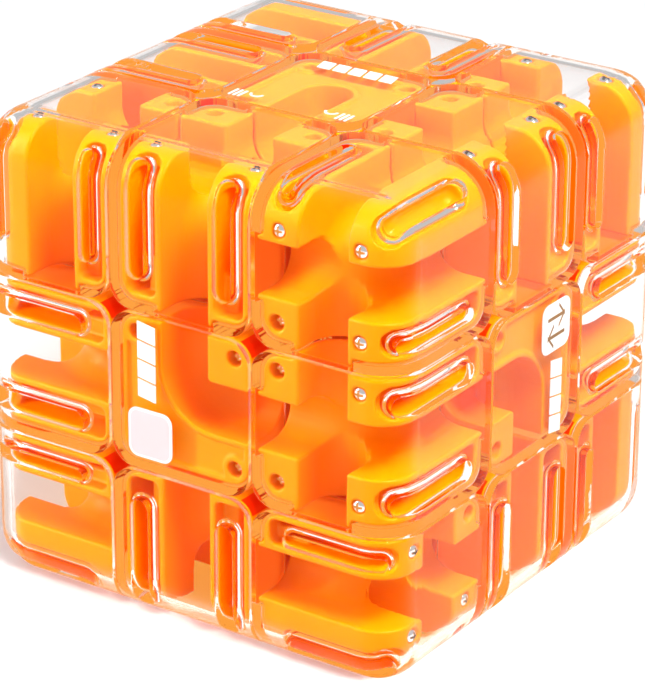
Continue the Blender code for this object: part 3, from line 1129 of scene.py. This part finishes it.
# %% Turning a pattern into place
EDGES = (
    ("up", "front"), ("up", "right"), ("left", "up"), ("back", "up"),
    ("front", "right"), ("left", "front"), ("back", "right"), ("left", "back"),
    ("down", "front"), ("down", "right"), ("down", "left"), ("down", "back"),
)
CORNERS = (
    ("front", "up", "right"), ("up", "front", "left"), ("up", "back", "right"), ("left", "up", "back"),
    ("right", "down", "front"), ("left", "down", "front"), ("down", "back", "right"),
    ("back", "down", "left"),
)
CENTRES = {"up": ("front",), "front": ("right", "up"), "right": ("down", "front"),
           "back": ("up", "left"), "left": ("front", "up"), "down": ("back",)}


def turn_to(x, z):
    return Matrix((x, z.cross(x), z)).transposed().to_4x4()


def block_turn(faces):
    """The turn for an edge or a corner. The first face is the one with the crossing channels."""
    z, x = FACES[faces[0]], FACES[faces[1]]
    if len(faces) == 3 and x.cross(FACES[faces[2]]).dot(z) < 0:
        x = FACES[faces[2]]
    return turn_to(x, z)


def centre_turn(face, ways):
    """The turn that takes +Z to a centre's face and +X to the side that its channel comes in at."""
    z, x = FACES[face], FACES[ways[0]]
    if len(ways) == 2 and x.cross(FACES[ways[1]]).dot(z) < 0:
        x = FACES[ways[1]]
    return turn_to(x, z)


def block_name(faces):
    return "_".join(sorted(faces, key=ORDER.index))


def set_in(name, mesh, finish_used, turn, body, slot, *stands_for):
    """Places one finished piece on its body."""
    if not mesh.materials:
        mesh.materials.append(finish_used)
    piece = bpy.data.objects.new(name, mesh)
    bpy.context.collection.objects.link(piece)
    piece.matrix_world = turn
    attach(piece, body)
    if stands_for:
        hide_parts(*stands_for)
    return piece


print("block names run from", block_name(EDGES[0]), "to", block_name(CORNERS[-1]))

# %% Edges and corners
for kind, blocks, tray_mesh, cover_mesh, screw_mesh in (
    ("edge", EDGES, edge_tray, edge_cover, edge_screws),
    ("corner", CORNERS, corner_tray, corner_cover, corner_screws),
):
    for faces in blocks:
        name = f"{block_name(faces)}_{kind}"
        turn = block_turn(faces)
        set_in(f"{name}_moulding", tray_mesh, orange_finish, turn, name, "orange_moulding", f"{name}_tray")
        set_in(f"{name}_clear_cover", cover_mesh, clear_finish, turn, name, "clear_cover", f"{name}_cover")
        set_in(f"{name}_screws", screw_mesh, chrome_finish, turn, name, "screw_steel")
    print(len(blocks), kind, "blocks in place")

# %% Centres, with their marks, screws and springs
for face, ways in CENTRES.items():
    bent = len(ways) == 2
    turn, name = centre_turn(face, ways), f"{face}_centre"
    set_in(f"{name}_moulding", centre_trays[bent], orange_finish, turn, name, "orange_moulding",
           f"{name}_tray")
    set_in(f"{name}_clear_cover", centre_covers[bent], clear_finish, turn, name, "clear_cover",
           f"{name}_cover")
    set_in(f"{name}_screws", centre_screws, chrome_finish, turn, name, "screw_steel")
    set_in(f"{face}_axle", axle_screw_mesh, chrome_finish, turn, "core", "screw_steel", f"{face}_axle_screw")
    set_in(f"{face}_spring", spring_mesh, spring_finish, turn, "core", "screw_steel")
    if bent:
        set_in(f"{name}_strip", strip_mesh, white_finish, turn, name, "white_mark")
        set_in(f"{name}_tag", border_mesh, white_finish, turn, name, "white_mark")
        if face in ("front", "back"):
            set_in(f"{name}_tag_panel", panel_mesh, panel_finish, turn, name, "white_mark")
        else:
            set_in(f"{name}_tag_arrows", arrows_mesh, arrow_finish, turn, name, "white_mark")
    else:
        set_in(f"{name}_marks", row_mesh, white_finish, turn, name, "white_mark")

set_in("core_arms", core_mesh, core_finish, Matrix(), "core", "core_plastic", "core")
ball_low, ball_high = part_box("steel_ball")
ball_place = Matrix.Translation((ball_low + ball_high) / 2)
set_in("rolling_ball", ball_mesh, ball_finish, ball_place, "ball", "ball_steel", "steel_ball")

# %% [markdown]
# ## Floor, light and camera
#
# The cube stands on a plain pale floor under a white sky, with two soft lamps. One is high on the right,
# and a tall one stands on the left, where it draws long bright lines in the grip grooves. The colours are
# shown as they are, with the Standard view, because a filmic view would wash out such a strong orange.

# %% Floor
def pale_floor(size=6.0):
    bm = bmesh.new()
    corners = [(-size, -size), (size, -size), (size, size), (-size, size)]
    bm.faces.new([bm.verts.new((x, y, cad_box[0].z - 0.1 * MM)) for x, y in corners])
    floor = solid(bm)
    floor.name = "floor"
    made, tree, shader = finish("pale_floor", (0.9, 0.9, 0.9), 0.6)
    grain = placed_group(tree, GRAIN, Flow_Scale=3.0)
    tree.links.new(two_tone(tree, grain.outputs["Mottle"], (0.92, 0.92, 0.92), (0.9, 0.9, 0.9)),
                   shader.inputs["Base Color"])
    floor.data.materials.append(made)
    return floor


pale_floor()
print("floor at", round(cad_box[0].z / MM, 2), "mm")


# %% Light
def soft_lamp(name, place, size, power, colour=(1, 1, 1)):
    lamp = bpy.data.lights.new(name, "AREA")
    lamp.shape = "RECTANGLE"
    lamp.size, lamp.size_y = size
    lamp.energy = power
    lamp.color = colour
    made = bpy.data.objects.new(name, lamp)
    bpy.context.collection.objects.link(made)
    made.location = place
    made.rotation_euler = (-Vector(place)).to_track_quat("-Z", "Y").to_euler()
    return made


sky = bpy.data.worlds.new("white_sky")
sky.use_nodes = True
sky.node_tree.nodes["Background"].inputs["Color"].default_value = (1, 1, 1, 1)
sky.node_tree.nodes["Background"].inputs["Strength"].default_value = 0.55
bpy.context.scene.world = sky
soft_lamp("high_right_lamp", (0.35, -0.1, 0.6), (0.2, 0.2), 4.8)
soft_lamp("left_lamp", (-0.55, -0.45, 0.25), (0.05, 0.5), 3.2)
bpy.context.scene.view_settings.view_transform = "Standard"
print("sky and two lamps in place")

# %% Camera
AZIMUTH = 34.1
ELEVATION = 23.2
DISTANCE = 0.491
ROLL = 0.29
VIEW_PIXELS = 684  # the picture's longer side, which the sensor's width stands for
FOCAL_PIXELS = 3510
AIM = (-2.5, -22)  # the cube's middle, from the picture's middle: to the right, and down

a, e = radians(AZIMUTH), radians(ELEVATION)
back = Vector((sin(a) * cos(e), -cos(a) * cos(e), sin(e)))
lens = bpy.data.cameras.new("camera")
lens.lens = lens.sensor_width * FOCAL_PIXELS / VIEW_PIXELS
camera = bpy.data.objects.new("camera", lens)
bpy.context.collection.objects.link(camera)
camera.location = back * DISTANCE
facing = (-back).to_track_quat("-Z", "Y").to_matrix()
right, up = facing.col[0], facing.col[1]
aim = (right * AIM[0] + up * AIM[1]) * DISTANCE / FOCAL_PIXELS
look = (aim - camera.location).to_track_quat("-Z", "Y").to_matrix()
camera.rotation_euler = (look @ Matrix.Rotation(radians(ROLL), 3, "Z")).to_euler()
lens.clip_start, lens.clip_end = 0.01, 20
bpy.context.scene.camera = camera
print("lens", round(lens.lens, 1), "mm, at", [round(v, 3) for v in camera.location])
